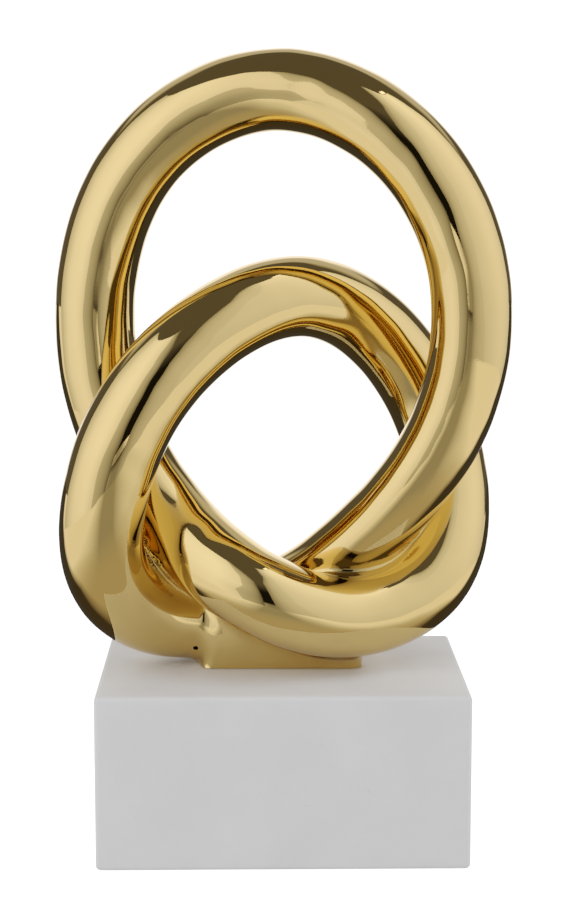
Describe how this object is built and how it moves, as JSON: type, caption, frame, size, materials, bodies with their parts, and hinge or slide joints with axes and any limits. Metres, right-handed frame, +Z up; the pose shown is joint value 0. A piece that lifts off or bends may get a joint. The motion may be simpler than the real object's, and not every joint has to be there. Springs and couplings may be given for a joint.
{
  "type": "knot sculpture trophy",
  "caption": "Abstract award: a polished gold tube closed in a trefoil knot, standing on a small cast foot that is screwed to a matte white rectangular block with felt underneath.",
  "frame": {"origin": "centre of the felt's underside, on the surface that the award stands on", "axes": "+Z up, the block's long front face towards -Y, +X to the right seen from the front"},
  "size_m": [0.1721, 0.098, 0.3003],
  "materials": {
    "gold_plate": "mirror polished, gold plated",
    "pale_stone": "cast, fine matte, with soft edges and a few pinholes",
    "yellow_brass": "turned",
    "zinc_steel": "zinc plated",
    "grey_felt": "pressed wool felt"
  },
  "bodies": {
    "root": {"knot_casting": "gold_plate", "stone_block": "pale_stone", "threaded_insert_left": "yellow_brass", "threaded_insert_right": "yellow_brass", "socket_screw_left": "zinc_steel", "socket_screw_right": "zinc_steel", "plain_washer_left": "zinc_steel", "plain_washer_right": "zinc_steel", "lock_washer_left": "zinc_steel", "lock_washer_right": "zinc_steel", "felt_sheet": "grey_felt"}
  },
  "joints": []
}
